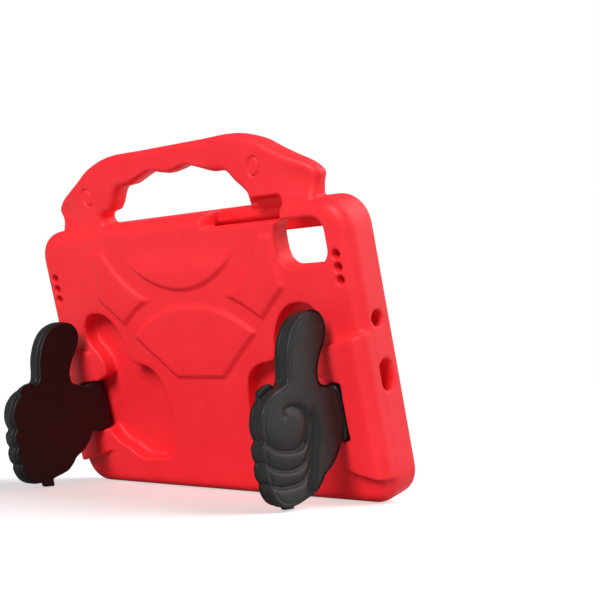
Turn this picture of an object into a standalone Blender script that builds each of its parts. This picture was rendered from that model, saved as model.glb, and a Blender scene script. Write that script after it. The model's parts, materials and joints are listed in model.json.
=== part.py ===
"""Kids tablet case: a moulded foam shell with a carry handle, and two folding thumbs-up hands as its feet.

Everything is drawn lying flat and then stood up by one empty. On the drawing board x runs across
the case, y runs up it, and z points out of its back, with zero at the bottom and back of the shell.
"""

import math

import bmesh
import bpy
from mathutils import Matrix, Vector
from mathutils.geometry import interpolate_bezier

CORNER = "corner"

# Tablet that the case is made for
TABLET_LENGTH = 0.2476
TABLET_WIDTH = 0.1574
TABLET_DEPTH = 0.0070
TABLET_CORNER = 0.0080
TABLET_CLEARANCE = 0.0005

# Shell walls
SIDE_WALL = 0.0097
TOP_WALL = 0.00805
BACK_WALL = 0.0130
LIP_DEPTH = 0.0034
LIP_OVERLAP_SIDE = 0.0088
LIP_OVERLAP_TOP = 0.0092
LIP_CHAMFER = 0.0028
SCREEN_CORNER = 0.0060
SHELL_CORNER = 0.0180
BACK_ROUNDING = 0.0078
FRONT_ROUNDING = 0.0020
LIP_NOTCH_RADIUS = 0.0070

POCKET_LENGTH = TABLET_LENGTH + 2 * TABLET_CLEARANCE
POCKET_WIDTH = TABLET_WIDTH + 2 * TABLET_CLEARANCE
POCKET_DEPTH = TABLET_DEPTH + TABLET_CLEARANCE
SHELL_WIDTH = POCKET_LENGTH + 2 * SIDE_WALL
SHELL_HEIGHT = POCKET_WIDTH + 2 * TOP_WALL
SHELL_DEPTH = BACK_WALL + POCKET_DEPTH + LIP_DEPTH
EDGE = SHELL_WIDTH / 2
POCKET_MIDDLE = SHELL_HEIGHT / 2

# Stand
LEAN = math.radians(16)

# Handle: x from the middle and y above the top of the shell
HANDLE_BACK = -0.0045
HANDLE_FRONT = -0.0190
HANDLE_ROUNDING = 0.0042
HANDLE_ROOT = 0.0090
HANDLE_TUCK = 0.0020
HANDLE_OUTER = (
    (0.0000, 0.0430),
    (0.0300, 0.0430),
    (0.0550, 0.0428),
    (0.0750, 0.0375),
    (0.0870, 0.0308),
    (0.0980, 0.0250),
    (0.1070, 0.0205),
    (0.1140, 0.0140),
    (0.1120, 0.0080),
    (0.1105, 0.0020),
)
WINDOW_GRIPS = (
    (0.0000, 0.0262),
    (0.0080, 0.0275),
    (0.0160, 0.0290),
    (0.0260, 0.0265),
    (0.0370, 0.0230),
    (0.0470, 0.0222),
)
WINDOW_LEFT_END = (
    (0.0520, 0.0180),
    (0.0550, 0.0130),
    (0.0592, 0.0084, CORNER),
    (0.0650, 0.0076),
    (0.0684, 0.0047),
    (0.0670, 0.0012),
)
WINDOW_RIGHT_END = ((0.0525, 0.0162), (0.0605, 0.0085), (0.0614, 0.0050), (0.0614, 0.0010))

# Button slot through the top wall, from the middle and from the top of the shell
SLOT_NEAR = 0.0246
SLOT_FAR = 0.0873
SLOT_STEP = 0.0634
SLOT_RISE = 0.0055
SLOT_DEPTH = 0.0170
SLOT_CORNER = 0.0030
SLOT_SINK = 0.0010

# Camera window, speaker holes and side ports
CAMERA_WIDTH = 0.0371
CAMERA_HEIGHT = 0.0272
CAMERA_CORNER = 0.0090
CAMERA_FROM_SIDE = 0.0350
CAMERA_FROM_TOP = 0.0223
SPEAKER_BORE = 0.0055
SPEAKER_FROM_SIDE = 0.0112
SPEAKER_FROM_TOP = 0.0308
SPEAKER_PITCH = 0.00715
SPEAKER_COUNT = 3
SPEAKER_DEPTH = 0.0180
PORT_DEPTH_LINE = 0.0125
JACK_BORE = 0.0096
JACK_HEIGHT = 0.1050
PORT_LENGTH = 0.0184
PORT_WIDTH = 0.0106
PORT_HEIGHT = 0.0730

# Raised panels on the back
PANEL_HEIGHT = 0.0015
PANEL_SLOPE = 0.0034
DOME_CENTRE = 0.0360
DOME_RADIUS = 0.0866
DOME_SPREAD = 40
DOME_FOOT_HALF = 0.0210
DOME_FOOT = 0.0734
DISC_CENTRE = 0.1945
DISC_RADIUS = 0.0660
DISC_TOP = 0.1595
PANEL_GAP_DOME = 0.0074
PANEL_GAP_DISC = 0.0100
SIDE_PANEL_ANGLE = 50
SIDE_PANEL_CORNERS = ((0.0830, 0.1270), (0.0800, 0.1430), (0.0800, 0.1590))
SIDE_PANEL_TOP_ANGLE = -26

# Hinge and the cheeks of the shell that carry it
HINGE_FROM_SIDE = 0.0240
HINGE_DEPTH = 0.0020
HINGE_LOW = 0.0396
HINGE_HIGH = 0.0720
HINGE_GAP = 0.0006
KNUCKLE_RADIUS = 0.0075
PIN_RADIUS = 0.0015
PIN_SEAT = 0.0060
RUNNING_GAP = 0.0003
CHEEK_HEIGHT = 0.0055
CHEEK_ROUNDING = 0.0080
CHEEK_SET_IN = 0.0003
CHEEK_WIDTH = 0.0370
CHEEK_CREST = 0.0240
CHEEK_ROOT = 0.0070
CHEEK_TOP = ((0.0000, 0.0999), (0.0070, 0.0987), (0.0170, 0.0961), (0.0400, 0.0905))
CHEEK_BOTTOM = ((0.0000, 0.0165), (0.0120, 0.0177), (0.0240, 0.0210), (0.0400, 0.0262))

# Hand: x from the hinge axis to the fingertips, y up the shell, z out of the palm
HAND_BACK = -0.0075
HAND_FACE = 0.0030
PLATE_THICKNESS = 0.0028
PLATE_SET_IN = 0.0007
BOND_GAP = 0.0003
HAND_ROUNDING = 0.0030
CUFF_LENGTH = 0.0100
RECESS_CLEARANCE = 0.0010
RECESS_DEPTH_CLEARANCE = 0.0006
RECESS_ROUNDING = 0.0020
THUMB = (
    (0.0120, 0.0720, CORNER),
    (0.0190, 0.0755),
    (0.0205, 0.0810),
    (0.0190, 0.0870),
    (0.0146, 0.0933),
    (0.0095, 0.0990),
    (0.0075, 0.1055),
    (0.0096, 0.1120),
    (0.0140, 0.1160),
    (0.0210, 0.1172),
    (0.0290, 0.1155),
    (0.0350, 0.1095),
    (0.0400, 0.1025),
    (0.0435, 0.0945),
    (0.0450, 0.0880),
    (0.0468, 0.0838),
)
FINGERS = (
    (0.0540, 0.0825),
    (0.0620, 0.0795),
    (0.0685, 0.0745),
    (0.0718, 0.0670),
    (0.0703, 0.0605, CORNER),
    (0.0735, 0.0550),
    (0.0722, 0.0495, CORNER),
    (0.0746, 0.0440),
    (0.0725, 0.0380, CORNER),
    (0.0730, 0.0330),
    (0.0700, 0.0265),
    (0.0640, 0.0215),
)
HEEL = (
    (0.0560, 0.0200),
    (0.0480, 0.0210),
    (0.0385, 0.0212),
    (0.0320, 0.0243),
    (0.0270, 0.0278),
    (0.0200, 0.0304),
    (0.0140, 0.0355),
    (0.0118, 0.0396, CORNER),
)
LATCH_START = 0.0502
LATCH_END = 0.0620
LATCH_TOP = 0.0860
LATCH_ROUNDING = 0.0012
FOOT_START = 0.0520
FOOT_END = 0.0600

# Lines sculpted into the palm: points, bore of the groove, and its depth
GROOVES = (
    (((0.0545, 0.0691), (0.0540, 0.0714), (0.0510, 0.0722), (0.0440, 0.0706), (0.0383, 0.0664),
      (0.0366, 0.0618), (0.0376, 0.0572), (0.0411, 0.0527), (0.0456, 0.0497)), 0.0011, 0.0010),
    (((0.0360, 0.0540), (0.0368, 0.0480), (0.0390, 0.0400), (0.0415, 0.0320), (0.0445, 0.0255)), 0.0040, 0.0013),
    (((0.0780, 0.0640), (0.0679, 0.0548), (0.0597, 0.0508), (0.0518, 0.0493), (0.0456, 0.0497)), 0.0012, 0.0011),
    (((0.0780, 0.0520), (0.0705, 0.0458), (0.0623, 0.0419), (0.0543, 0.0405), (0.0450, 0.0410)), 0.0012, 0.0011),
    (((0.0780, 0.0410), (0.0679, 0.0345), (0.0602, 0.0325), (0.0532, 0.0320), (0.0460, 0.0343)), 0.0012, 0.0011),
)

OVERRUN = 0.0040
SLIVER = 0.0001
ARC_STEPS = 8

COLOURS = {
    "red foam": ((0.82, 0.035, 0.045, 1), 0.55, 0.0),
    "black foam": ((0.032, 0.032, 0.034, 1), 0.60, 0.0),
    "black plastic": ((0.012, 0.011, 0.012, 1), 0.35, 0.0),
    "steel": ((0.60, 0.60, 0.62, 1), 0.30, 1.0),
}


def clear_scene():
    for obj in list(bpy.data.objects):
        bpy.data.objects.remove(obj, do_unlink=True)


def new_collection(name, shown=True):
    collection = bpy.data.collections.new(name)
    bpy.context.scene.collection.children.link(collection)
    collection.hide_render = not shown
    return collection


def material(name):
    found = bpy.data.materials.get(name)
    if found:
        return found
    colour, roughness, metallic = COLOURS[name]
    made = bpy.data.materials.new(name)
    made.use_nodes = True
    shader = made.node_tree.nodes["Principled BSDF"]
    shader.inputs["Base Color"].default_value = colour
    shader.inputs["Roughness"].default_value = roughness
    shader.inputs["Metallic"].default_value = metallic
    made.diffuse_color = colour
    return made


def arc(centre, radius, start, end, steps=ARC_STEPS):
    """Points along an arc, its angles in degrees."""
    angles = [math.radians(start + (end - start) * i / steps) for i in range(steps + 1)]
    return [(centre[0] + radius * math.cos(a), centre[1] + radius * math.sin(a)) for a in angles]


def rounded_box(left, right, low, high, radius, steps=ARC_STEPS):
    corners = ((right, high, 0), (left, high, 90), (left, low, 180), (right, low, 270))
    points = []
    for x, y, turn in corners:
        inward = (math.copysign(radius, x - (left + right) / 2), math.copysign(radius, y - (low + high) / 2))
        points += arc((x - inward[0], y - inward[1]), radius, turn, turn + 90, steps)
    return points


def smooth(points, steps=3, closed=True):
    """A soft curve through the points, with a sharp turn at those marked as corners."""
    count = len(points)
    places = [Vector(point[:2]) for point in points]
    sharp = [len(point) > 2 for point in points]
    path = []
    for i in range(count if closed else count - 1):
        before, start, end, after = (places[(i + k) % count] for k in (-1, 0, 1, 2))
        if not closed and i == 0:
            before = start
        if not closed and i == count - 2:
            after = end
        third = (end - start).length / 3
        leave = (end - start if sharp[i] else end - before).normalized() * third
        arrive = (end - start if sharp[(i + 1) % count] else after - start).normalized() * third
        handles = (start.to_3d(), (start + leave).to_3d(), (end - arrive).to_3d(), end.to_3d())
        path += [point.to_2d() for point in interpolate_bezier(*handles, steps + 1)[:-1]]
    if not closed:
        path.append(places[-1])
    return [(point.x, point.y) for point in path]


def grown(points, distance):
    """The closed outline moved outward by a distance, with its corners kept."""
    area = sum(a[0] * b[1] - b[0] * a[1] for a, b in zip(points, points[1:] + points[:1]))
    side = distance if area > 0 else -distance
    moved = []
    for i, point in enumerate(points):
        before, here, after = Vector(points[i - 1]), Vector(point), Vector(points[(i + 1) % len(points)])
        first = (here - before).normalized()
        second = (after - here).normalized()
        normal = Vector((first.y + second.y, -first.x - second.x))
        reach = 2 * side / max(normal.length_squared, 1.0)
        moved.append(tuple(here + normal * reach))
    return moved


def mirrored(points):
    return [(-point[0], *point[1:]) for point in reversed(points)]


def tidy(mesh):
    """Joins a converted curve's caps to its sides and turns every face outward."""
    shape = bmesh.new()
    shape.from_mesh(mesh)
    bmesh.ops.remove_doubles(shape, verts=shape.verts, dist=1e-6)
    bmesh.ops.recalc_face_normals(shape, faces=shape.faces)
    shape.to_mesh(mesh)
    shape.free()
    return mesh


def mesh_of_curve(curve):
    holder = bpy.data.objects.new("outline", curve)
    bpy.context.scene.collection.objects.link(holder)
    bpy.context.view_layer.update()
    graph = bpy.context.evaluated_depsgraph_get()
    mesh = bpy.data.meshes.new_from_object(holder.evaluated_get(graph))
    bpy.data.objects.remove(holder)
    bpy.data.curves.remove(curve)
    return tidy(mesh)


def slab(outlines, low, high):
    """A flat plate between two heights, from a closed outline and any holes in it."""
    curve = bpy.data.curves.new("outline", "CURVE")
    curve.dimensions = "2D"
    curve.fill_mode = "BOTH"
    curve.extrude = (high - low) / 2
    for points in outlines:
        spline = curve.splines.new("POLY")
        spline.points.add(len(points) - 1)
        spline.points.foreach_set("co", [value for x, y in points for value in (x, y, 0, 1)])
        spline.use_cyclic_u = True
    mesh = mesh_of_curve(curve)
    mesh.transform(Matrix.Translation((0, 0, (high + low) / 2)))
    return mesh


def tube(points, radius, height):
    """A round cutter that follows a line drawn at one height."""
    curve = bpy.data.curves.new("line", "CURVE")
    curve.dimensions = "3D"
    curve.bevel_depth = radius
    curve.bevel_resolution = 1
    curve.use_fill_caps = True
    spline = curve.splines.new("POLY")
    spline.points.add(len(points) - 1)
    spline.points.foreach_set("co", [value for x, y in points for value in (x, y, height, 1)])
    return mesh_of_curve(curve)


def rod(radius, start, end, axis, centre, steps=24):
    """A round rod along x, y or z. The centre gives its place on the two other axes."""
    shape = bmesh.new()
    bmesh.ops.create_cone(
        shape, cap_ends=True, segments=steps, radius1=radius, radius2=radius, depth=abs(end - start)
    )
    turn = {"x": Matrix.Rotation(math.pi / 2, 4, "Y"), "y": Matrix.Rotation(math.pi / 2, 4, "X")}
    bmesh.ops.transform(shape, matrix=turn.get(axis, Matrix()), verts=shape.verts)
    place = list(centre)
    place.insert("xyz".index(axis), (start + end) / 2)
    bmesh.ops.translate(shape, vec=place, verts=shape.verts)
    mesh = bpy.data.meshes.new("rod")
    shape.to_mesh(mesh)
    shape.free()
    return mesh


def round_rim(mesh, height, radius, steps=3):
    """Rounds the edges that run around a plate at one height."""
    shape = bmesh.new()
    shape.from_mesh(mesh)
    rim = [
        edge
        for edge in shape.edges
        if all(abs(vert.co.z - height) < 1e-6 for vert in edge.verts) and edge.calc_face_angle(0) > 1
    ]
    bmesh.ops.bevel(
        shape, geom=rim, offset=radius, segments=steps, profile=0.5, affect="EDGES", clamp_overlap=False
    )
    bmesh.ops.recalc_face_normals(shape, faces=shape.faces)
    shape.to_mesh(mesh)
    shape.free()
    return mesh


def taper(mesh, height, outer, inner):
    """Moves a plate's edge at one height from its own outline to another with as many points."""
    shape = bmesh.new()
    shape.from_mesh(mesh)
    for vert in shape.verts:
        if abs(vert.co.z - height) < 1e-6:
            spot = vert.co.to_2d()
            nearest = min(range(len(outer)), key=lambda i: (spot - Vector(outer[i])).length)
            vert.co.x, vert.co.y = inner[nearest]
    shape.to_mesh(mesh)
    shape.free()
    return mesh


def flip_across(mesh):
    """The mirror image of a mesh across the middle of the case."""
    image = mesh.copy()
    image.transform(Matrix.Scale(-1, 4, (1, 0, 0)))
    image.flip_normals()
    return image


def place(mesh, name, collection, parent, origin=(0, 0, 0)):
    obj = bpy.data.objects.new(name, mesh)
    mesh.name = name
    collection.objects.link(obj)
    obj.parent = parent
    obj.location = origin
    mesh.transform(Matrix.Translation(-Vector(origin)))
    return obj


def paint(obj, name):
    obj.data.materials.clear()
    obj.data.materials.append(material(name))
    return obj


def combine(target, others, operation, tools, parent):
    """Adds or cuts shapes, each kept as a wire object that one of the target's Boolean modifiers reads."""
    for name, mesh in others:
        helper = place(mesh, name, tools, parent)
        helper.display_type = "WIRE"
        helper.hide_render = True
        boolean = target.modifiers.new(name, "BOOLEAN")
        boolean.operation = operation
        boolean.solver = "EXACT"
        boolean.object = helper


def close_slivers(obj):
    """Welds the points that cuts leave a few hundredths of a millimetre apart on a shared edge."""
    weld = obj.modifiers.new("Weld", "WELD")
    weld.merge_threshold = SLIVER


def body_blank():
    """The block of the shell with its soft back edge and small front edge."""
    outline = rounded_box(-EDGE, EDGE, 0, SHELL_HEIGHT, SHELL_CORNER)
    block = slab([outline], -SHELL_DEPTH, 0)
    round_rim(block, 0, BACK_ROUNDING, 5)
    return round_rim(block, -SHELL_DEPTH, FRONT_ROUNDING, 2)


def handle():
    """The carry handle with finger grips. Its window ends in a notch on the left, and beside the slot on the right."""
    loops = []
    for right_half, left_half, root in (
        (HANDLE_OUTER, HANDLE_OUTER, HANDLE_ROOT),
        (WINDOW_GRIPS + WINDOW_RIGHT_END, WINDOW_GRIPS + WINDOW_LEFT_END, HANDLE_ROOT / 2),
    ):
        right, left = (
            smooth(half + ((half[-1][0] - HANDLE_TUCK, -root, CORNER),), 3, closed=False)
            for half in (right_half, left_half)
        )
        loops.append([(x, y + SHELL_HEIGHT) for x, y in right + mirrored(left)[:-1]])
    plate = slab(loops, HANDLE_FRONT, HANDLE_BACK)
    round_rim(plate, HANDLE_BACK, HANDLE_ROUNDING)
    return round_rim(plate, HANDLE_FRONT, HANDLE_ROUNDING)


def panel(outline, top=None):
    """One raised panel with sloping sides that starts just under the back face."""
    plate = slab([outline], -PANEL_HEIGHT / 4, PANEL_HEIGHT)
    return taper(plate, PANEL_HEIGHT, outline, top or grown(outline, -PANEL_SLOPE))


def dome_panel():
    top = arc((0, DOME_CENTRE), DOME_RADIUS, 90 - DOME_SPREAD, 90 + DOME_SPREAD, 14)
    return panel(top + [(-DOME_FOOT_HALF, DOME_FOOT), (DOME_FOOT_HALF, DOME_FOOT)])


def disc_panel():
    cut = math.degrees(math.asin((DISC_TOP - DISC_CENTRE) / DISC_RADIUS))
    return panel(arc((0, DISC_CENTRE), DISC_RADIUS, -180 - cut, cut, 16))


def side_arcs(shrink):
    """The two arcs that bound the right panel beside the dome and the disc, from where they meet."""
    around_dome = DOME_RADIUS + PANEL_GAP_DOME + shrink
    around_disc = DISC_RADIUS + PANEL_GAP_DISC + shrink
    apart = DISC_CENTRE - DOME_CENTRE
    along = (around_dome**2 - around_disc**2 + apart**2) / (2 * apart)
    meet_dome = math.degrees(math.acos(along / around_dome))
    meet_disc = math.degrees(math.acos((apart - along) / around_disc))
    lower = arc((0, DOME_CENTRE), around_dome, 90 - meet_dome, SIDE_PANEL_ANGLE, 6)
    upper = arc((0, DISC_CENTRE), around_disc, SIDE_PANEL_TOP_ANGLE, meet_disc - 90, 8)
    return lower, upper[:-1]


def side_panel():
    """The right panel, whose slopes follow the arcs into its narrow tip."""
    lower, upper = side_arcs(0)
    outline = lower + list(SIDE_PANEL_CORNERS) + upper
    top_lower, top_upper = side_arcs(PANEL_SLOPE)
    top = top_lower + list(SIDE_PANEL_CORNERS) + top_upper
    far_side = slice(len(lower) - 1, len(lower) + len(SIDE_PANEL_CORNERS) + 1)
    top[far_side] = grown(outline, -PANEL_SLOPE)[far_side]
    return panel(outline, top)


def cheek():
    """The right cheek: its section runs up the shell, trimmed by its sloping top and bottom lines."""
    outer = EDGE - CHEEK_SET_IN
    crest = EDGE - CHEEK_CREST
    inner = EDGE - CHEEK_WIDTH
    round_off = arc((outer - CHEEK_ROUNDING, CHEEK_HEIGHT - CHEEK_ROUNDING), CHEEK_ROUNDING, 0, 90, 5)
    section = [(outer, -CHEEK_ROOT)] + round_off + [(crest, CHEEK_HEIGHT - 0.0004), (inner, -0.0006)]
    section.append((inner, -CHEEK_ROOT))
    low = min(y for x, y in CHEEK_BOTTOM)
    high = max(y for x, y in CHEEK_TOP)
    bar = slab([section], low, high)
    bar.transform(Matrix.Translation((0, high + low, 0)) @ Matrix.Rotation(math.pi / 2, 4, "X"))
    shape = bmesh.new()
    shape.from_mesh(bar)
    middle = (low + high) / 2
    for vert in shape.verts:
        line = CHEEK_TOP if vert.co.y > middle else CHEEK_BOTTOM
        vert.co.y = height_on(line, EDGE - vert.co.x)
    shape.to_mesh(bar)
    shape.free()
    return bar


def height_on(line, x):
    """The height of a drawn line at one distance from the side of the shell."""
    for start, end in zip(line, line[1:]):
        if x <= end[0]:
            break
    share = (x - start[0]) / (end[0] - start[0])
    return start[1] + share * (end[1] - start[1])


def hand_outline():
    """The whole hand beyond its cuff, with the notches between the fingers."""
    return smooth(THUMB + FINGERS + HEEL)


def recess_outline():
    """The hand's outline without the finger notches, with the clearance it folds into."""
    plain = tuple(point for point in FINGERS if len(point) == 2)
    return grown(smooth(THUMB + plain + HEEL), RECESS_CLEARANCE)


def floor_height():
    """How far the bottom of the rounded shell edge lies above the corner of the drawing."""
    return BACK_ROUNDING * (math.cos(LEAN) + math.sin(LEAN) - 1)


def foot_low(reach):
    """Where the floor meets a hand's plate, at this distance from the hinge axis."""
    out = reach - HINGE_DEPTH
    return (floor_height() + out * math.sin(LEAN)) / math.cos(LEAN)


def latch_outline(clearance=0.0):
    high = LATCH_TOP + clearance
    return rounded_box(LATCH_START - clearance, LATCH_END + clearance, HINGE_HIGH, high, LATCH_ROUNDING, 3)


def foot_outline(clearance=0.0):
    """The lower tab, whose end is cut to lie flat on the floor in the standing pose."""
    low = [(x, foot_low(x) - clearance) for x in (FOOT_START - clearance, FOOT_END + clearance)]
    return low + [(FOOT_END + clearance, HINGE_LOW), (FOOT_START - clearance, HINGE_LOW)]


def fold_in(mesh):
    """Turns a shape drawn on an open hand about the hinge into its folded place on the right side."""
    mesh.transform(Matrix.Scale(-1, 4, (1, 0, 0)))
    mesh.flip_normals()
    mesh.transform(Matrix.Translation((EDGE - HINGE_FROM_SIDE, 0, -HINGE_DEPTH)))
    return mesh


def hand_recess():
    """The right recess: the folded hand's shape, its two tabs, and the way in for its cuff."""
    floor = HAND_BACK - RECESS_DEPTH_CLEARANCE
    top = CHEEK_HEIGHT + OVERRUN
    pocket = slab([recess_outline()], floor, top)
    round_rim(pocket, floor, RECESS_ROUNDING, 2)
    shapes = [pocket]
    for outline in (latch_outline(RECESS_CLEARANCE), foot_outline(RECESS_CLEARANCE)):
        shapes.append(slab([outline], floor, top))
    return [fold_in(shape) for shape in shapes]


def cuff_notch():
    """The gap in the right cheek that the knuckle turns in."""
    floor = -KNUCKLE_RADIUS - RECESS_DEPTH_CLEARANCE
    room = KNUCKLE_RADIUS + RECESS_DEPTH_CLEARANCE
    low, high = HINGE_LOW - HINGE_GAP, HINGE_HIGH + HINGE_GAP
    box = [(-room, low), (CUFF_LENGTH + OVERRUN, low), (CUFF_LENGTH + OVERRUN, high), (-room, high)]
    notch = slab([box], floor, CHEEK_HEIGHT + OVERRUN)
    return fold_in(notch)


def pin_bore():
    """The blind hole across the right cheek that both ends of the hinge pin sit in."""
    low = HINGE_LOW - PIN_SEAT - RUNNING_GAP
    high = HINGE_HIGH + PIN_SEAT + RUNNING_GAP
    return fold_in(rod(PIN_RADIUS + RUNNING_GAP, low, high, "y", (0, 0), 16))


def pocket_and_screen():
    """The tablet's pocket and the chamfered opening in front of its screen."""
    back = -BACK_WALL
    front = -BACK_WALL - POCKET_DEPTH
    half_length, half_width = POCKET_LENGTH / 2, POCKET_WIDTH / 2
    low, high = POCKET_MIDDLE - half_width, POCKET_MIDDLE + half_width
    pocket = slab([rounded_box(-half_length, half_length, low, high, TABLET_CORNER)], front, back)
    side = EDGE - SIDE_WALL - LIP_OVERLAP_SIDE
    low, high = low + LIP_OVERLAP_TOP, high - LIP_OVERLAP_TOP
    opening = rounded_box(-side, side, low, high, SCREEN_CORNER)
    through = slab([opening], -SHELL_DEPTH - OVERRUN, front + OVERRUN)
    wide = grown(opening, LIP_CHAMFER + OVERRUN)
    flare = slab([wide], -SHELL_DEPTH - OVERRUN, -SHELL_DEPTH + LIP_CHAMFER)
    taper(flare, -SHELL_DEPTH + LIP_CHAMFER, wide, opening)
    return [pocket, through, flare]


def lip_notches():
    """The half-round cuts in the lip, at the middle of one short side and of the handle side."""
    side = EDGE - SIDE_WALL - LIP_OVERLAP_SIDE
    top = SHELL_HEIGHT - TOP_WALL - LIP_OVERLAP_TOP
    low, high = -SHELL_DEPTH - OVERRUN, -BACK_WALL - POCKET_DEPTH / 2
    places = ((side, POCKET_MIDDLE), (0, top))
    return [rod(LIP_NOTCH_RADIUS, low, high, "z", place_) for place_ in places]


def button_slot():
    """The slot over the tablet's edge buttons, open above and taller inside the handle's foot."""
    low = SHELL_HEIGHT - TOP_WALL - SLOT_SINK
    step = SHELL_HEIGHT + SLOT_RISE
    radius = SLOT_CORNER
    outline = [(SLOT_NEAR, low), (SLOT_FAR, low)]
    outline += arc((SLOT_FAR - radius, step - radius), radius, 0, 90, 4)
    outline += arc((SLOT_STEP + radius, step - radius), radius, 90, 180, 4)
    above = SHELL_HEIGHT + SLOT_RISE / 3
    outline += [(SLOT_STEP, above), (SLOT_NEAR, above)]
    return slab([outline], -SLOT_DEPTH, OVERRUN)


def camera_window():
    x, y = EDGE - CAMERA_FROM_SIDE, SHELL_HEIGHT - CAMERA_FROM_TOP
    half_width, half_height = CAMERA_WIDTH / 2, CAMERA_HEIGHT / 2
    outline = rounded_box(x - half_width, x + half_width, y - half_height, y + half_height, CAMERA_CORNER, 6)
    return slab([outline], -BACK_WALL - OVERRUN, OVERRUN)


def speaker_holes():
    x = EDGE - SPEAKER_FROM_SIDE
    for side in (-x, x):
        for i in range(SPEAKER_COUNT):
            y = SHELL_HEIGHT - SPEAKER_FROM_TOP - i * SPEAKER_PITCH
            yield rod(SPEAKER_BORE / 2, -SPEAKER_DEPTH, OVERRUN, "z", (side, y), 16)


def side_ports():
    """The round jack hole and the oval charging port in the right side wall."""
    start, end = EDGE - SIDE_WALL - OVERRUN / 2, EDGE + OVERRUN
    jack = rod(JACK_BORE / 2, start, end, "x", (JACK_HEIGHT, -PORT_DEPTH_LINE), 16)
    half_width, half_length = PORT_WIDTH / 2, PORT_LENGTH / 2
    oval = rounded_box(-half_width, half_width, -half_length, half_length, half_width * 0.98, 6)
    port = slab([oval], -end, -start)
    port.transform(Matrix.Translation((0, PORT_HEIGHT, -PORT_DEPTH_LINE)) @ Matrix.Rotation(-math.pi / 2, 4, "Y"))
    return [jack, port]


def build_shell(collection, tools, stand):
    shell = paint(place(body_blank(), "case_shell", collection, stand), "red foam")
    right = side_panel()
    right_cheek = cheek()
    additions = [
        ("add_handle", handle()),
        ("add_dome_panel", dome_panel()),
        ("add_disc_panel", disc_panel()),
        ("add_right_panel", right),
        ("add_left_panel", flip_across(right)),
        ("add_right_cheek", right_cheek),
        ("add_left_cheek", flip_across(right_cheek)),
    ]
    combine(shell, additions, "UNION", tools, stand)
    hollows = list(speaker_holes()) + side_ports() + [button_slot()]
    for cutter in hand_recess() + [cuff_notch(), pin_bore()]:
        hollows += [cutter, flip_across(cutter)]
    hollows += pocket_and_screen() + lip_notches() + [camera_window()]
    combine(shell, [(f"cut_{i:02d}", mesh) for i, mesh in enumerate(hollows)], "DIFFERENCE", tools, stand)
    close_slivers(shell)
    return shell


def open_out(mesh):
    """Stands a shape drawn on a hand's own board in its open place on the left side."""
    mesh.transform(Matrix.Rotation(-math.pi / 2, 4, "Y"))
    mesh.transform(Matrix.Translation((HINGE_FROM_SIDE - EDGE, 0, -HINGE_DEPTH)))
    return mesh


def knuckle_outline():
    """The hinge end of the plate, seen along its axis: round about the pin and flat on the palm side."""
    face = math.degrees(math.asin(HAND_FACE / KNUCKLE_RADIUS))
    turn = arc((0, 0), KNUCKLE_RADIUS, 180 - face, 270, 8)
    return [(CUFF_LENGTH, HAND_BACK), (CUFF_LENGTH, HAND_FACE)] + turn


def hand_plate_parts():
    """The plate with its knuckle, latch and foot, drawn on the hand's own board."""
    plate = slab([grown(hand_outline(), -PLATE_SET_IN)], HAND_BACK, HAND_BACK + PLATE_THICKNESS)
    knuckle = slab([knuckle_outline()], HINGE_LOW, HINGE_HIGH)
    upright = Matrix.Translation((0, HINGE_LOW + HINGE_HIGH, 0)) @ Matrix.Rotation(math.pi / 2, 4, "X")
    knuckle.transform(upright)
    web = slab([rounded_box(0.0, 0.0220, HINGE_LOW + 0.001, HINGE_HIGH - 0.001, 0.0005, 1)],
               HAND_BACK + 0.0002, HAND_BACK + PLATE_THICKNESS - 0.0002)
    low, high = HAND_BACK + 0.0001, HAND_BACK + PLATE_THICKNESS - 0.0001
    latch = slab([latch_outline()], low, high)
    foot = slab([foot_outline()], low, high)
    bore = rod(PIN_RADIUS + RUNNING_GAP, HINGE_LOW - OVERRUN, HINGE_HIGH + OVERRUN, "y", (0, 0), 16)
    return plate, [knuckle, web, latch, foot], [bore]


def hand_cover_parts():
    """The sculpted foam hand that is bonded to the plate."""
    start = CUFF_LENGTH + BOND_GAP
    low = HAND_BACK + PLATE_THICKNESS + BOND_GAP
    outline = [(max(x, start), y) for x, y in hand_outline()]
    cover = slab([outline], low, HAND_FACE)
    round_rim(cover, HAND_FACE, HAND_ROUNDING)
    cuts = []
    for points, radius, depth in GROOVES:
        line = smooth(points, 3, closed=False)
        cuts.append(tube(line, radius, HAND_FACE + radius - depth))
    return cover, [], cuts


def build_hand(side, collection, tools, stand):
    """One hand, open. The right one is the mirror image of the left one."""
    axis_x = EDGE - HINGE_FROM_SIDE
    origin = (-axis_x if side == "left" else axis_x, (HINGE_LOW + HINGE_HIGH) / 2, -HINGE_DEPTH)
    for piece, look, parts in (
        ("hand_plate", "black plastic", hand_plate_parts()),
        ("hand_cover", "black foam", hand_cover_parts()),
    ):
        base, additions, cuts = parts
        meshes = [open_out(mesh) for mesh in [base] + additions + cuts]
        if side == "right":
            meshes = [flip_across(mesh) for mesh in meshes]
        name = f"{side}_{piece}"
        obj = paint(place(meshes[0], name, collection, stand, origin), look)
        added = [(f"{name}_add_{i}", mesh) for i, mesh in enumerate(meshes[1:1 + len(additions)])]
        cut = [(f"{name}_cut_{i}", mesh) for i, mesh in enumerate(meshes[1 + len(additions):])]
        combine(obj, added, "UNION", tools, stand)
        combine(obj, cut, "DIFFERENCE", tools, stand)


def build_pin(side, collection, stand):
    """The rod that a hand swings on, held at both ends in its cheek."""
    x = EDGE - HINGE_FROM_SIDE
    centre = (-x if side == "left" else x, -HINGE_DEPTH)
    low, high = HINGE_LOW - PIN_SEAT, HINGE_HIGH + PIN_SEAT
    origin = (centre[0], (low + high) / 2, centre[1])
    pin = rod(PIN_RADIUS, low, high, "y", centre, 16)
    paint(place(pin, f"{side}_hinge_pin", collection, stand, origin), "steel")


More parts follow.
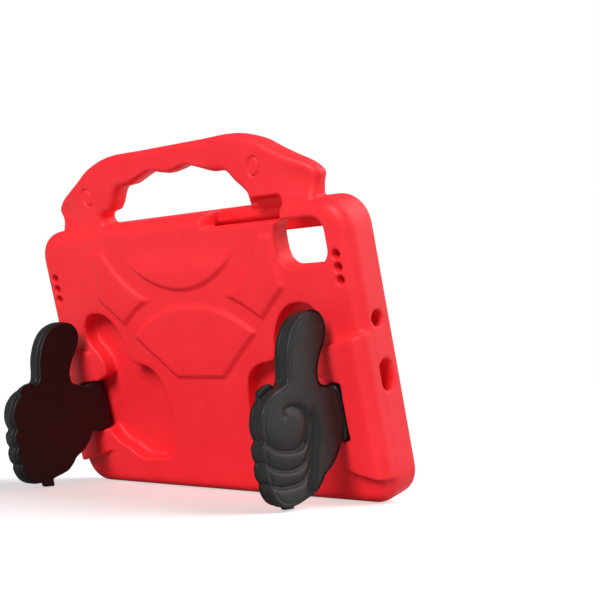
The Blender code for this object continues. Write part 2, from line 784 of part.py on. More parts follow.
def stand_up():
    """The empty that leans the whole case back and sets it on the floor, centred across and front to back."""
    stand = bpy.data.objects.new("stand", None)
    bpy.context.scene.collection.objects.link(stand)
    stand.rotation_euler = (math.pi / 2 + LEAN, 0, 0)
    near = max((x - HINGE_DEPTH) * math.cos(LEAN) + y * math.sin(LEAN) for x, y, *_ in FINGERS)
    far = SHELL_DEPTH * math.cos(LEAN) - FRONT_ROUNDING * (math.cos(LEAN) + math.sin(LEAN) - 1)
    stand.location = (0, (near - far) / 2, -floor_height())
    return stand


def main():
    clear_scene()
    collection = new_collection("kids_tablet_case")
    tools = new_collection("shapes_for_booleans", shown=False)
    stand = stand_up()
    build_shell(collection, tools, stand)
    for side in ("left", "right"):
        build_hand(side, collection, tools, stand)
        build_pin(side, collection, stand)


main()
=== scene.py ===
"""Looks of the kids tablet case: soft red foam shell, sculpted black hands, studio light and camera."""

import math

import bpy
import numpy as np
from mathutils import Matrix, Vector
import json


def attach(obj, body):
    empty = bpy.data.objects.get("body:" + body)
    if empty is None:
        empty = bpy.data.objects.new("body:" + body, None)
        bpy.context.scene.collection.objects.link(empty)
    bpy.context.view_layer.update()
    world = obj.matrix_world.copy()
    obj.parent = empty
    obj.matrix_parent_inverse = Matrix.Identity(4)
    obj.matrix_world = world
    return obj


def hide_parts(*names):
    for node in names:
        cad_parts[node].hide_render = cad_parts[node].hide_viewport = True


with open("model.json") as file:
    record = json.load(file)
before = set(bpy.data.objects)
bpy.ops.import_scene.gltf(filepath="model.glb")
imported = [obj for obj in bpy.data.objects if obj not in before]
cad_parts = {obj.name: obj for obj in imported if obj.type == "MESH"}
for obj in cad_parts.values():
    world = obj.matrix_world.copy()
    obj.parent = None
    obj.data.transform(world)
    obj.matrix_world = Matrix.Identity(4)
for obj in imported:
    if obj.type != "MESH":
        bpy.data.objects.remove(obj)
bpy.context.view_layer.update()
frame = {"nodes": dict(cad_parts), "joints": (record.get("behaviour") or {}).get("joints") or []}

MM = 0.001
NODES = frame["nodes"]
HINGE_ON_BOARD = Vector((0.1100, 0.0558, -0.0020))

# Camera
CAMERA_SPOT = (0.54011, -0.50746, 0.07034)
CAMERA_TURN = 41.5521
CAMERA_TILT = 3.6438
CAMERA_ROLL = 0.0681
CAMERA_LENS = 72.7147
SENSOR_WIDTH = 36

# Studio
WHITE = (1, 1, 1, 1)
FLOOR_COLOUR = (0.8, 0.88, 0.88)
FLOOR_GLOW_SEEN = 0.56
FLOOR_GLOW = 0.06
ROOM_GLOW = 0.15

# How finely pieces are rebuilt, how often they are smoothed, and how many triangles they keep
SHELL_VOXEL = 0.65 * MM
SHELL_ROUNDS = 3
SHELL_OUTER_ROUNDS = 7
FEET_ROUNDS = 30
GAP_ROUNDS = 12
WINDOW_ROUNDS = 10
SHELL_FACES = 190000
HAND_VOXEL = 0.5 * MM
HAND_FACES = 120000
PLATE_VOXEL = 0.4 * MM
PLATE_ROUNDS = 5
PLATE_FACES = 100000
SMOOTHING = 0.5
WEIGHT_LEVELS = 10

# Hands: s runs from the hinge axis to the fingertips, w up the case and t out of the palm
HINGE_ACROSS = 110 * MM
HINGE_DEPTH = 2 * MM
HAND_FACE = 3.0 * MM
FOAM_BACK = -4.4 * MM
PLATE_BACK = -7.5 * MM
PLATE_FACE = -4.7 * MM
CUFF_FACE = 1.2 * MM
CUFF_CREST = 2.5 * MM
CUFF_END = 10.0 * MM
CUFF_TOP = 80 * MM
CUFF_DROP = 3.2 * MM
BOND_GAP = 0.3 * MM
KNUCKLE_RADIUS = 7.5 * MM
KNUCKLE_LOW = 39.6 * MM
KNUCKLE_HIGH = 72.0 * MM
KNUCKLE_ARC = (160.5, 270)
BORE_RADIUS = 1.8 * MM
BORE_LENGTH = 200 * MM
PLATE_INSET = 0.5 * MM
FOAM_STEP = 0.5 * MM
CRISP_EDGE = 1.0 * MM
SOFT_EDGE = 3.8 * MM
WRIST_EDGE = 1.3 * MM
BEAD_WIDTH = 2.3 * MM
BEAD_GROOVE = 0.45 * MM
GROOVE_WIDTH = 0.6 * MM
HEEL_DROP = 0.7 * MM
HEEL_WIDTH = 4 * MM

# Outline of the hand in runs that meet at sharp corners, from the cuff over the thumb and the fingers
# to the heel, in millimetres (s, w)
HAND_RUNS = (
    ((11.0, 72.6), (16.5, 74.8), (20.6, 77.2), (21.4, 81.5), (20.2, 86.0), (16.2, 92.2), (10.8, 98.5),
     (8.0, 104.5), (8.2, 110.0), (11.4, 114.8), (16.8, 117.3), (23.0, 117.5), (29.6, 115.8), (35.4, 111.6),
     (39.8, 105.6), (43.2, 98.0), (44.8, 90.6), (46.8, 85.4), (51.0, 83.8), (58.0, 82.6), (64.0, 80.2),
     (68.8, 75.8), (71.4, 70.4), (72.0, 65.6), (70.8, 60.3)),
    ((70.8, 60.3), (73.4, 57.9), (74.0, 55.0), (73.9, 51.9), (72.8, 49.4)),
    ((72.8, 49.4), (74.4, 47.0), (74.9, 44.0), (74.6, 40.8), (72.9, 38.1)),
    ((72.9, 38.1), (73.8, 35.4), (73.1, 31.6), (70.4, 26.4), (64.6, 22.2), (56.0, 20.8), (48.0, 21.2),
     (39.4, 22.0), (33.6, 25.2), (30.0, 28.4), (24.6, 30.4), (18.6, 34.2), (14.2, 38.8), (11.4, 43.6)),
)
# The soft end of the foam over the cuff, from the heel up to the thumb
WRIST_RUN = ((11.4, 43.6), (9.5, 49.0), (8.5, 55.0), (8.3, 62.0), (9.2, 68.5), (11.0, 72.6))

# Lines pressed into the palm, in millimetres (s, w)
CURL = ((52.6, 67.0), (53.4, 69.9), (50.8, 72.0), (45.4, 71.6), (39.6, 68.8), (35.6, 63.8), (35.2, 57.8),
        (37.6, 53.0), (40.0, 50.4))
VALLEY = ((31.8, 68.5), (31.0, 61.0), (33.0, 51.0), (36.6, 41.5), (39.6, 32.5), (42.0, 24.5), (43.6, 18.5))
FINGER_LINES = (
    ((71.4, 60.8), (69.0, 58.4), (64.2, 53.8), (57.0, 50.2), (48.4, 48.2), (41.6, 48.8), (38.4, 51.4)),
    ((73.6, 50.0), (71.8, 48.2), (66.8, 43.8), (58.8, 39.9), (51.0, 38.5), (44.0, 39.2), (40.2, 42.2)),
    ((74.0, 38.6), (71.8, 36.8), (65.0, 33.2), (57.2, 31.2), (49.4, 30.5), (43.8, 32.6)),
)

# Depth of each kind of pressed line, and its width on its soft side and on its sharp side
CURL_DEPTH, CURL_WIDTHS = 2.6 * MM, (3.4, 1.1)
VALLEY_DEPTH, VALLEY_WIDTHS = 3.0 * MM, (4.4, 2.2)
FINGER_DEPTH, FINGER_WIDTHS = 2.8 * MM, (3.2, 1.0)
DEEPEST_PRESS = 3.6 * MM

# The plate's web to the knuckle and its small tabs, in millimetres (s, w)
WEB = ((2, 41), (20, 41), (20, 71), (2, 71))
LATCH = ((51.0, 76.0), (62.6, 76.0), (62.8, 83.0), (61.0, 84.8), (56.8, 86.0), (52.6, 86.0), (51.0, 84.6))
FOOT = ((52.0, 26.0), (52.0, 17.4), (52.8, 16.8), (59.2, 18.5), (60.0, 19.4), (60.0, 26.0))

# Shell forms, on the case's own board. The lips are boxes on the folded hand's board, in millimetres
RECESS_FLOOR = -10.1 * MM
RECESS_GAP = 0.6 * MM
LIP_BOTTOM = -5.8 * MM
BACK_FACE = -0.02 * MM
LATCH_LIP = (48.5, 64.0, 74, 88.4)
FOOT_LIP = (50.4, 61.6, 14, 26)
KNUCKLE_LIP = (-8.6, -3.5, 38.4, 73.4)
KNUCKLE_LIP_SPAN = (3.5 * MM, 7.4 * MM)
HOOD_FILLET = (53.5, 89, 173.2, 178)
HOOD_FILLET_SPAN = (-22 * MM, -15.5 * MM)
CUTTER_TOP = 12 * MM
PANEL_LIFT = 0.2

# The hollow at each end of the handle, in millimetres
HOLLOW_ACROSS, HOLLOW_UP = 105, 186
HOLLOW_WIDTH, HOLLOW_HEIGHT = 11, 10
HOLLOW_DEPTH = 3.4 * MM

# Oval lines pressed into the two ends of the handle: middle and tilt
HANDLE_MARKS = ((-78.0 * MM, 194.0 * MM, 20), (71.0 * MM, 197.0 * MM, -20))
MARK_HALF_WIDTH = 4.2 * MM
MARK_HALF_HEIGHT = 5.6 * MM
MARK_REACH = 9 * MM
MARK_DEPTH = 1.3 * MM
MARK_WIDTH = 0.55 * MM


def hinge(side):
    """The frame's hinge of the left or the right hand."""
    return next(joint for joint in frame["joints"] if joint["name"] == f"{side}_hand_hinge")


def drawing_board():
    """The flat drawing board of the case: x across, y up the back, z out of the back."""
    up = Vector(hinge("right")["axis"]).normalized()
    across = Vector((1, 0, 0))
    turn = Matrix((across, up, across.cross(up))).transposed()
    start = Vector(hinge("right")["pos_m"]) - turn @ HINGE_ON_BOARD
    return Matrix.Translation(start) @ turn.to_4x4()


BOARD = drawing_board()


def activate(obj):
    bpy.ops.object.select_all(action="DESELECT")
    bpy.context.view_layer.objects.active = obj
    obj.select_set(True)


def apply(obj, modifier):
    activate(obj)
    bpy.ops.object.modifier_apply(modifier=modifier.name)


def board_copy(node, name):
    """A merged copy of a CAD node, laid on the drawing board."""
    piece = bpy.data.objects.new(name, NODES[node].data.copy())
    bpy.context.scene.collection.objects.link(piece)
    piece.data.materials.clear()
    activate(piece)
    bpy.ops.object.mode_set(mode="EDIT")
    bpy.ops.mesh.select_all(action="SELECT")
    bpy.ops.mesh.remove_doubles(threshold=0.01 * MM)
    bpy.ops.object.mode_set(mode="OBJECT")
    piece.data.transform(BOARD.inverted())
    return piece


def even_faces(piece, size):
    """Rebuilds a piece's skin in small even faces, as clay is before it is smoothed."""
    remesh = piece.modifiers.new("even", "REMESH")
    remesh.mode = "VOXEL"
    remesh.voxel_size = size
    apply(piece, remesh)


def points_of(piece):
    flat = np.empty(len(piece.data.vertices) * 3)
    piece.data.vertices.foreach_get("co", flat)
    return flat.reshape(-1, 3)


def set_points(piece, points):
    piece.data.vertices.foreach_set("co", np.ascontiguousarray(points).ravel())
    piece.data.update()


def board_places(points):
    """Each point's u from the middle, w up the back and n out of it, in millimetres, to mark out areas."""
    return np.abs(points[:, 0]) / MM, points[:, 1] / MM, points[:, 2] / MM


def smooth_out(piece, rounds, weights=None):
    """Smooths a piece all over, or only where the weights say."""
    smooth = piece.modifiers.new("smooth", "SMOOTH")
    smooth.factor = SMOOTHING
    smooth.iterations = rounds
    if weights is not None:
        group = piece.vertex_groups.new(name="soft")
        levels = np.rint(np.clip(weights, 0, 1) * WEIGHT_LEVELS).astype(int)
        for level in range(1, WEIGHT_LEVELS + 1):
            group.add(np.flatnonzero(levels == level).tolist(), level / WEIGHT_LEVELS, "REPLACE")
        smooth.vertex_group = group.name
    apply(piece, smooth)
    piece.vertex_groups.clear()


def lighten(piece, faces):
    """Thins the faces of flat areas until about this many triangles are left."""
    count = sum(len(face.vertices) - 2 for face in piece.data.polygons)
    if count > faces:
        thin = piece.modifiers.new("thin", "DECIMATE")
        thin.ratio = faces / count
        apply(piece, thin)


def finish_piece(piece, node, body, look):
    """Stands a piece up from the drawing board in its node's place."""
    piece.data.transform(BOARD)
    activate(piece)
    bpy.ops.object.shade_smooth()
    piece.data.materials.append(look)
    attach(piece, body)
    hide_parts(node)


def new_material(name, colour, roughness):
    made = bpy.data.materials.new(name)
    made.use_nodes = True
    shader = made.node_tree.nodes["Principled BSDF"]
    shader.inputs["Base Color"].default_value = (*colour, 1)
    shader.inputs["Roughness"].default_value = roughness
    return made, shader


def add_noise(tree, scale, detail):
    """Noise on Object coordinates."""
    place = tree.nodes.new("ShaderNodeTexCoord")
    noise = tree.nodes.new("ShaderNodeTexNoise")
    noise.inputs["Scale"].default_value = scale
    noise.inputs["Detail"].default_value = detail
    tree.links.new(place.outputs["Object"], noise.inputs["Vector"])
    return noise


def add_grain(made, shader, scale, height):
    """A fine grain in the surface."""
    tree = made.node_tree
    noise = add_noise(tree, scale, detail=3)
    bump = tree.nodes.new("ShaderNodeBump")
    bump.inputs["Strength"].default_value = 1.0
    bump.inputs["Distance"].default_value = height
    tree.links.new(noise.outputs["Fac"], bump.inputs["Height"])
    tree.links.new(bump.outputs["Normal"], shader.inputs["Normal"])


def vary(made, shader, socket, scale, low, high):
    """Lets a number or colour of the shader wander softly between two values."""
    tree = made.node_tree
    noise = add_noise(tree, scale, detail=4)
    ramp = tree.nodes.new("ShaderNodeValToRGB")
    for stop, position, value in zip(ramp.color_ramp.elements, (0.35, 0.65), (low, high)):
        stop.position = position
        stop.color = (*value, 1)
    tree.links.new(noise.outputs["Fac"], ramp.inputs["Fac"])
    tree.links.new(ramp.outputs["Color"], shader.inputs[socket])


def vary_roughness(made, shader, scale, low, high):
    vary(made, shader, "Roughness", scale, (low,) * 3, (high,) * 3)


def red_foam():
    made, shader = new_material("red_eva_foam", colour=(0.86, 0.022, 0.031), roughness=0.5)
    shader.inputs["Specular IOR Level"].default_value = 0.28
    vary(made, shader, "Base Color", scale=40, low=(0.84, 0.018, 0.027), high=(0.88, 0.022, 0.032))
    vary_roughness(made, shader, scale=300, low=0.46, high=0.56)
    add_grain(made, shader, scale=2600, height=0.012 * MM)
    return made


def black_foam():
    made, shader = new_material("black_eva_foam", colour=(0.013, 0.013, 0.013), roughness=0.5)
    shader.inputs["Specular IOR Level"].default_value = 0.35
    vary(made, shader, "Base Color", scale=90, low=(0.011, 0.011, 0.011), high=(0.015, 0.0145, 0.0145))
    vary_roughness(made, shader, scale=500, low=0.44, high=0.54)
    add_grain(made, shader, scale=3200, height=0.015 * MM)
    return made


def black_plastic():
    made, shader = new_material("black_plastic", colour=(0.008, 0.008, 0.008), roughness=0.42)
    shader.inputs["Specular IOR Level"].default_value = 0.35
    vary_roughness(made, shader, scale=200, low=0.38, high=0.48)
    add_grain(made, shader, scale=1800, height=0.004 * MM)
    return made


def steel():
    made, shader = new_material("pin_steel", colour=(0.56, 0.56, 0.58), roughness=0.3)
    shader.inputs["Metallic"].default_value = 1.0
    vary_roughness(made, shader, scale=900, low=0.25, high=0.38)
    return made


def soft_line(points, steps=8):
    """A smooth line through the points, as an array."""
    ends = np.array(points) * MM
    ends = np.vstack([2 * ends[0] - ends[1], ends, 2 * ends[-1] - ends[-2]])
    share = np.linspace(0, 1, steps, endpoint=False)[:, None]
    path = []
    for a, b, c, d in zip(ends, ends[1:], ends[2:], ends[3:]):
        path.append(b + (c - a) * share / 2 + (2 * a - 5 * b + 4 * c - d) * share**2 / 2
                    + (3 * b - a - 3 * c + d) * share**3 / 2)
    return np.vstack(path + [ends[-2][None]])


def hand_outline():
    """The hand's closed outline, with its soft end over the cuff."""
    return np.vstack([soft_line(run, steps=6)[:-1] for run in HAND_RUNS + (WRIST_RUN,)])


def grown(outline, distance):
    """A closed outline moved outward by a distance."""
    before, after = np.roll(outline, 1, axis=0), np.roll(outline, -1, axis=0)
    area = np.sum(outline[:, 0] * after[:, 1] - after[:, 0] * outline[:, 1])
    run = after - before
    run /= np.linalg.norm(run, axis=1)[:, None]
    return outline + np.column_stack([run[:, 1], -run[:, 0]]) * distance * np.sign(area)


def from_line(points, line):
    """Each point's distance from a line, its side, how far along it is, and the line's direction there."""
    nearest = np.full(len(points), np.inf)
    side = np.zeros(len(points))
    along = np.zeros(len(points))
    heading = np.zeros((len(points), 2))
    for i, (start, end) in enumerate(zip(line, line[1:])):
        run = end - start
        offset = points - start
        share = np.clip(offset @ run / (run @ run), 0, 1)
        away = np.linalg.norm(offset - share[:, None] * run, axis=1)
        closer = away < nearest
        nearest[closer] = away[closer]
        side[closer] = np.sign(run[0] * offset[closer, 1] - run[1] * offset[closer, 0])
        along[closer] = (i + share[closer]) / (len(line) - 1)
        heading[closer] = run / np.linalg.norm(run)
    return nearest, side, along, heading


def fade(value, start, end):
    """0 before start, 1 after end, and a soft rise between."""
    share = np.clip((value - start) / (end - start), 0, 1)
    return share * share * (3 - 2 * share)


def slab(name, outline, low, high):
    """A plate with this closed outline, from one height to another."""
    bpy.ops.object.select_all(action="DESELECT")
    bpy.ops.mesh.primitive_circle_add(vertices=len(outline), fill_type="NGON")
    piece = bpy.context.active_object
    piece.name = name
    set_points(piece, np.column_stack([outline, np.full(len(outline), low)]))
    bpy.ops.object.mode_set(mode="EDIT")
    bpy.ops.mesh.select_all(action="SELECT")
    bpy.ops.mesh.extrude_region_move(TRANSFORM_OT_translate={"value": (0, 0, high - low)})
    bpy.ops.mesh.select_all(action="SELECT")
    bpy.ops.mesh.normals_make_consistent(inside=False)
    bpy.ops.object.mode_set(mode="OBJECT")
    return piece


def reorient(piece, matrix):
    """Moves a piece's mesh, and turns its faces outward again if that mirrored it."""
    piece.data.transform(matrix)
    if matrix.determinant() < 0:
        piece.data.flip_normals()


def joined(pieces):
    activate(pieces[0])
    for piece in pieces:
        piece.select_set(True)
    bpy.ops.object.join()
    return pieces[0]


def cut(target, cutter):
    """Cuts one closed shape out of another and takes the cutter away."""
    boolean = target.modifiers.new("cut", "BOOLEAN")
    boolean.operation = "DIFFERENCE"
    boolean.solver = "EXACT"
    boolean.object = cutter
    apply(target, boolean)
    bpy.data.objects.remove(cutter)


def press_lines(flat):
    """How deep the palm is pressed in at each point of its face."""
    away, side, along, _ = from_line(flat, soft_line(CURL))
    width = np.where(side > 0, *CURL_WIDTHS) * MM
    depth = CURL_DEPTH * fade(along, -0.02, 0.14) * np.exp(-away / width)
    away, side, along, _ = from_line(flat, soft_line(VALLEY))
    width = np.where(side > 0, *VALLEY_WIDTHS) * MM
    depth += VALLEY_DEPTH * fade(along, 0.0, 0.22) * np.exp(-((away / width) ** 2))
    for points in FINGER_LINES:
        away, side, along, _ = from_line(flat, soft_line(points))
        width = np.where(side < 0, *FINGER_WIDTHS) * MM
        depth += FINGER_DEPTH * (1 - 0.4 * fade(along, 0.85, 1.0)) * np.exp(-away / width)
    return np.minimum(depth, DEEPEST_PRESS)


def sculpt_palm(cover, outline):
    """Shapes the palm face: crisp finger-side edge, soft hinge-side edge, and the lines of the fingers."""
    points = points_of(cover)
    face = np.flatnonzero(points[:, 2] > HAND_FACE - 0.4 * MM)
    flat = points[face, :2]
    rim, _, _, heading = from_line(flat, np.vstack([outline, outline[:1]]))
    outward = -heading[:, 1]
    radius = SOFT_EDGE + (CRISP_EDGE - SOFT_EDGE) * fade(outward, -0.55, 0.35)
    over_cuff = fade(flat[:, 0], 16 * MM, CUFF_END) * fade(flat[:, 1], CUFF_TOP, 76 * MM)
    radius += (WRIST_EDGE - radius) * over_cuff
    inward = np.clip(radius - rim, 0, radius)
    height = HAND_FACE - radius + np.sqrt(radius**2 - inward**2)
    height -= press_lines(flat) * fade(rim, 0.0, 1.0 * MM)
    height -= HEEL_DROP * np.exp(-rim / HEEL_WIDTH) * fade(outward, 0.2, -0.6) * (1 - over_cuff)
    height -= BEAD_GROOVE * np.exp(-(((rim - BEAD_WIDTH) / GROOVE_WIDTH) ** 2)) * fade(outward, -0.1, 0.4)
    points[face, 2] = height
    set_points(cover, points)


def hand_place(side):
    """From a hand's own board to the case's board, with the hand open."""
    out = 1 if side == "right" else -1
    return Matrix(((0, 0, out, out * HINGE_ACROSS), (0, 1, 0, 0), (1, 0, 0, -HINGE_DEPTH), (0, 0, 0, 1)))


def clear_of_cuff(outline, start):
    """The hand's outline without what reaches over the cuff, with the thumb above it left whole."""
    along, up = outline.T
    return np.column_stack([np.where(up < CUFF_TOP, np.maximum(along, start), along), up])


def make_cover(side, look):
    """The sculpted foam hand, whose end lies softly over the cuff."""
    outline = hand_outline()
    below = clear_of_cuff(outline, CUFF_END + BOND_GAP)
    cover = joined([
        slab(f"{side}_hand_foam", below, FOAM_BACK, HAND_FACE - FOAM_STEP),
        slab("soft_end", outline, CUFF_FACE + BOND_GAP, HAND_FACE),
    ])
    even_faces(cover, HAND_VOXEL)
    smooth_out(cover, 1)
    sculpt_palm(cover, outline)
    smooth_out(cover, 3)
    lighten(cover, HAND_FACES)
    reorient(cover, hand_place(side))
    finish_piece(cover, f"{side}_hand_cover", f"{side}_hand", look)


def knuckle_section():
    """The hinge end of the plate, seen along its axis."""
    turns = np.radians(np.linspace(*KNUCKLE_ARC, 24))
    curve = np.column_stack([np.cos(turns), np.sin(turns)]) * KNUCKLE_RADIUS
    face = [(CUFF_END, PLATE_BACK), (CUFF_END, CUFF_FACE), (8.0 * MM, CUFF_FACE), (7.4 * MM, CUFF_CREST)]
    return np.vstack([face, curve])


def round_cuff(plate):
    """Lets the outer face of the cuff fall away towards its two ends."""
    points = points_of(plate)
    from_middle = np.abs(points[:, 1] * 2 - KNUCKLE_LOW - KNUCKLE_HIGH) / (KNUCKLE_HIGH - KNUCKLE_LOW)
    outer = fade(points[:, 2], -3 * MM, 1 * MM) * (points[:, 0] < CUFF_END + 1 * MM) * (from_middle < 1.1)
    points[:, 2] -= CUFF_DROP * from_middle**8 * outer
    set_points(plate, points)


def make_plate(side, look):
    """The hard plate on the back of a hand, with its knuckle, cuff, latch tab and foot tab."""
    outline = clear_of_cuff(hand_outline(), CUFF_END)
    knuckle = slab("knuckle", knuckle_section(), KNUCKLE_LOW, KNUCKLE_HIGH)
    bpy.ops.mesh.primitive_cylinder_add(vertices=32, radius=BORE_RADIUS, depth=BORE_LENGTH)
    cut(knuckle, bpy.context.active_object)
    reorient(knuckle, Matrix(((1, 0, 0, 0), (0, 0, 1, 0), (0, 1, 0, 0), (0, 0, 0, 1))))
    plate = joined([
        slab(f"{side}_hand_backing", grown(outline, -PLATE_INSET), PLATE_BACK, PLATE_FACE),
        knuckle,
        slab("web", np.array(WEB) * MM, PLATE_BACK + 0.1 * MM, PLATE_FACE - 0.1 * MM),
        slab("latch", np.array(LATCH) * MM, PLATE_BACK, PLATE_FACE + 0.4 * MM),
        slab("foot", np.array(FOOT) * MM, PLATE_BACK, PLATE_FACE + 0.2 * MM),
    ])
    even_faces(plate, PLATE_VOXEL)
    round_cuff(plate)
    smooth_out(plate, PLATE_ROUNDS)
    lighten(plate, PLATE_FACES)
    reorient(plate, hand_place(side))
    finish_piece(plate, f"{side}_hand_plate", f"{side}_hand", look)


def folded_place(side):
    """From a hand's own board to the case's board, with the hand folded into its recess."""
    out = 1 if side == "right" else -1
    return Matrix(((-out, 0, 0, out * HINGE_ACROSS), (0, 1, 0, 0), (0, 0, 1, -HINGE_DEPTH), (0, 0, 0, 1)))


def box_outline(left, right, low, high):
    return np.array(((left, low), (right, low), (right, high), (left, high))) * MM


def recess_lips(side):
    """Foam that covers the tabs' way into the recess and the outer side of the knuckle."""
    low, high = LIP_BOTTOM + HINGE_DEPTH, BACK_FACE + HINGE_DEPTH
    pieces = [
        slab("latch_lip", box_outline(*LATCH_LIP), low, high),
        slab("foot_lip", box_outline(*FOOT_LIP), low, high),
        slab("knuckle_lip", box_outline(*KNUCKLE_LIP), *KNUCKLE_LIP_SPAN),
    ]
    for piece in pieces:
        reorient(piece, folded_place(side))
    return pieces


def hood_fillet():
    """Foam that closes the corner between the handle's window and the hood over the buttons."""
    return slab("hood_fillet", box_outline(*HOOD_FILLET), *HOOD_FILLET_SPAN)


def recess_cutter(side):
    """The hand's recess with smooth walls, a little wider than the folded hand."""
    hand = HAND_RUNS[0] + tuple(point for run in HAND_RUNS[1:] for point in run[1:])
    outline = np.vstack([soft_line(run, steps=4)[:-1] for run in (hand, WRIST_RUN)])
    cutter = slab("recess_cutter", grown(outline, RECESS_GAP), RECESS_FLOOR + HINGE_DEPTH, CUTTER_TOP)
    reorient(cutter, folded_place(side))
    return cutter


def soften_shell(shell):
    """Rounds the foam where it flows: the handle's feet and window, and round the cheeks and cuffs."""
    points = points_of(shell)
    u, w, n = board_places(points)
    off_hood = 1 - fade(points[:, 0] / MM, 55, 60) * fade(points[:, 0] / MM, 93, 89)
    # Where the handle stands on the case, but not at the hood over the buttons
    feet = fade(w, 166, 172) * fade(w, 190, 180) * fade(u, 62, 70) * fade(n, -16, -9) * off_hood
    # The upper ends of the cheeks, the gaps at the two ends of each cuff, and the handle's window
    cheek_tops = fade(u, 93, 99) * fade(w, 84, 90) * fade(w, 106, 101) * fade(n, -8, -3)
    off_cuff_ends = fade(np.abs(w - 72.6), 3, 7) * fade(np.abs(w - 39), 3, 7)
    gaps = fade(u, 94, 99) * (1 - off_cuff_ends) * fade(n, -3, 1)
    window = fade(w, 184, 188) * fade(n, -12, -7)
    smooth_out(shell, FEET_ROUNDS, feet + cheek_tops)
    smooth_out(shell, GAP_ROUNDS, gaps)
    smooth_out(shell, WINDOW_ROUNDS, window)


def lift_panels(shell):
    """Lifts the raised panels of the back a little, and lets the top one fade out towards the handle."""
    points = points_of(shell)
    u, w, n = board_places(points)
    panels = fade(u, 90, 87) * fade(w, 64, 68) * fade(w, 167, 164) * fade(n, 0.0, 0.1) * fade(n, 3.0, 2.0)
    fading = fade(u, 62, 58) * fade(w, 140, 156)
    points[:, 2] *= 1 + panels * (PANEL_LIFT * (1 - fading) - fading)
    set_points(shell, points)


def dish_handle_ends(shell):
    """Hollows the back of the handle towards its two outer ends."""
    points = points_of(shell)
    u, w, n = board_places(points)
    inward = np.clip(HOLLOW_ACROSS - u, 0, None) / HOLLOW_WIDTH
    reach = np.exp(-(inward**2 + ((w - HOLLOW_UP) / HOLLOW_HEIGHT) ** 2))
    points[:, 2] -= HOLLOW_DEPTH * reach * fade(n, -14, -6) * fade(w, 175, 180)
    set_points(shell, points)


def press_marks(shell):
    """Presses a plain oval line into the back of each end of the handle."""
    points = points_of(shell)
    turns = np.radians(np.arange(0, 361, 12))
    upright = np.column_stack([MARK_HALF_WIDTH * np.cos(turns), MARK_HALF_HEIGHT * np.sin(turns)])
    for across, up, tilt in HANDLE_MARKS:
        lean = math.radians(tilt)
        turn = np.array(((math.cos(lean), math.sin(lean)), (-math.sin(lean), math.cos(lean))))
        around = np.hypot(points[:, 0] - across, points[:, 1] - up) < MARK_REACH
        near = np.flatnonzero(around & (points[:, 2] > -14 * MM))
        away = from_line(points[near, :2], upright @ turn + (across, up))[0]
        points[near, 2] -= MARK_DEPTH * np.exp(-((away / MARK_WIDTH) ** 2))
    set_points(shell, points)


def outer_part(points):
    """1 on the edges, the handle and the screen side, and 0 on the pattern of the back."""
    across, up, out = np.abs(points[:, 0]), points[:, 1], points[:, 2]
    return np.maximum.reduce([
        fade(up, 163 * MM, 168 * MM), fade(-up, -9 * MM, -6 * MM),
        fade(across, 118 * MM, 122 * MM), fade(-out, 2 * MM, 4 * MM),
    ])


def make_shell(look):
    """The foam shell: the CAD shell with smooth recesses, soft edges and its fine forms."""
    shell = board_copy("case_shell", "moulded_shell")
    shell = joined([shell, hood_fillet()] + recess_lips("left") + recess_lips("right"))
    even_faces(shell, SHELL_VOXEL)
    for side in ("left", "right"):
        cut(shell, recess_cutter(side))
    even_faces(shell, SHELL_VOXEL)
    dish_handle_ends(shell)
    lift_panels(shell)
    smooth_out(shell, SHELL_ROUNDS)
    smooth_out(shell, SHELL_OUTER_ROUNDS, outer_part(points_of(shell)))
    soften_shell(shell)
    press_marks(shell)
    lighten(shell, SHELL_FACES)
    finish_piece(shell, "case_shell", "case", look)


def studio_floor():
    """A wide pale floor that meets the white room without a line."""
    bpy.ops.mesh.primitive_grid_add(x_subdivisions=2, y_subdivisions=2, size=12, location=(0, 1, 0))
    floor = bpy.context.active_object
    floor.name = "studio_floor"
    made, shader = new_material("studio_floor", FLOOR_COLOUR, roughness=0.6)
    shader.inputs["Specular IOR Level"].default_value = 0.2
    shader.inputs["Emission Color"].default_value = WHITE
    tree = made.node_tree
    seen = tree.nodes.new("ShaderNodeLightPath")
    glow = tree.nodes.new("ShaderNodeMath")
    glow.operation = "MULTIPLY_ADD"
    glow.inputs[1].default_value = FLOOR_GLOW_SEEN - FLOOR_GLOW
    glow.inputs[2].default_value = FLOOR_GLOW
    tree.links.new(seen.outputs["Is Camera Ray"], glow.inputs[0])
    tree.links.new(glow.outputs["Value"], shader.inputs["Emission Strength"])
    floor.data.materials.append(made)
    return floor


def add_camera():
    data = bpy.data.cameras.new("camera")
    data.lens = CAMERA_LENS
    data.sensor_width = SENSOR_WIDTH
    camera = bpy.data.objects.new("camera", data)
    camera.location = CAMERA_SPOT
    camera.rotation_euler = [math.radians(turn) for turn in (90 + CAMERA_TILT, CAMERA_ROLL, CAMERA_TURN)]
    bpy.context.scene.collection.objects.link(camera)
    bpy.context.scene.camera = camera


def add_area(name, spot, target, size, power):
    data = bpy.data.lights.new(name, "AREA")
    data.size = size
    data.energy = power
    light = bpy.data.objects.new(name, data)
    light.location = spot
    light.rotation_euler = (Vector(target) - Vector(spot)).to_track_quat("-Z", "Y").to_euler()
    bpy.context.scene.collection.objects.link(light)


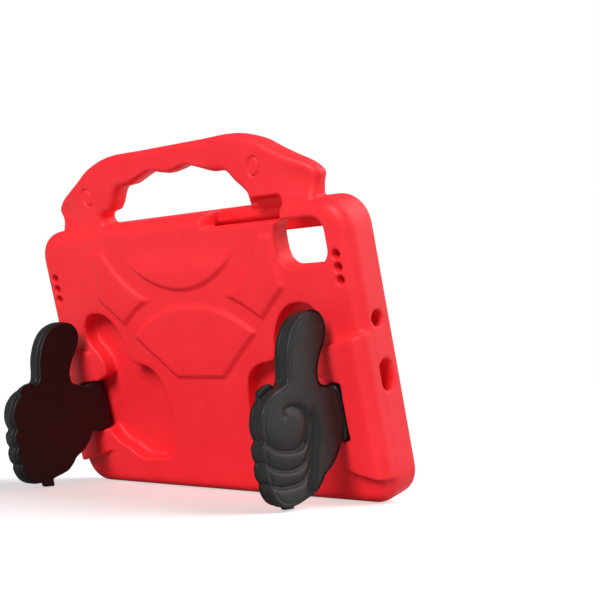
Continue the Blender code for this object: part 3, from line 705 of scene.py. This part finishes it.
def add_sun(name, spot, strength, spread):
    data = bpy.data.lights.new(name, "SUN")
    data.energy = strength
    data.angle = math.radians(spread)
    light = bpy.data.objects.new(name, data)
    light.rotation_euler = Vector(spot).to_track_quat("Z", "Y").to_euler()
    bpy.context.scene.collection.objects.link(light)
    return light


def spare(light, piece):
    """Lets a light pass over one piece, as a flag in the studio would."""
    passed = bpy.data.collections.new("passed_over")
    passed.objects.link(piece)
    passed.collection_objects[0].light_linking.link_state = "EXCLUDE"
    light.light_linking.receiver_collection = passed


def white_room(strength):
    """A white surround: pure white behind the case, and softer where it only lights it."""
    world = bpy.data.worlds.new("studio")
    world.use_nodes = True
    tree = world.node_tree
    fill = tree.nodes["Background"]
    fill.inputs["Color"].default_value = WHITE
    fill.inputs["Strength"].default_value = strength
    backdrop = tree.nodes.new("ShaderNodeBackground")
    backdrop.inputs["Color"].default_value = WHITE
    seen = tree.nodes.new("ShaderNodeLightPath")
    choose = tree.nodes.new("ShaderNodeMixShader")
    tree.links.new(seen.outputs["Is Camera Ray"], choose.inputs["Fac"])
    tree.links.new(fill.outputs["Background"], choose.inputs[1])
    tree.links.new(backdrop.outputs["Background"], choose.inputs[2])
    tree.links.new(choose.outputs["Shader"], tree.nodes["World Output"].inputs["Surface"])
    bpy.context.scene.world = world


def light_studio(floor):
    bpy.context.scene.view_settings.view_transform = "Standard"
    white_room(ROOM_GLOW)
    spare(add_sun("front_light", spot=(0.2, -0.9, 0.58), strength=3.3, spread=28), floor)
    add_sun("back_light", spot=(0.55, 0.6, 0.9), strength=2.0, spread=50)
    add_area("side_softbox", spot=(1.5, 1.7, 0.6), target=(0.1, 0, 0.08), size=2.0, power=20)


def main():
    add_camera()
    light_studio(studio_floor())
    make_shell(red_foam())
    foam, plastic, metal = black_foam(), black_plastic(), steel()
    for side in ("left", "right"):
        make_cover(side, foam)
        make_plate(side, plastic)
        pin = NODES[f"{side}_hinge_pin"]
        pin.data.materials.clear()
        pin.data.materials.append(metal)


main()
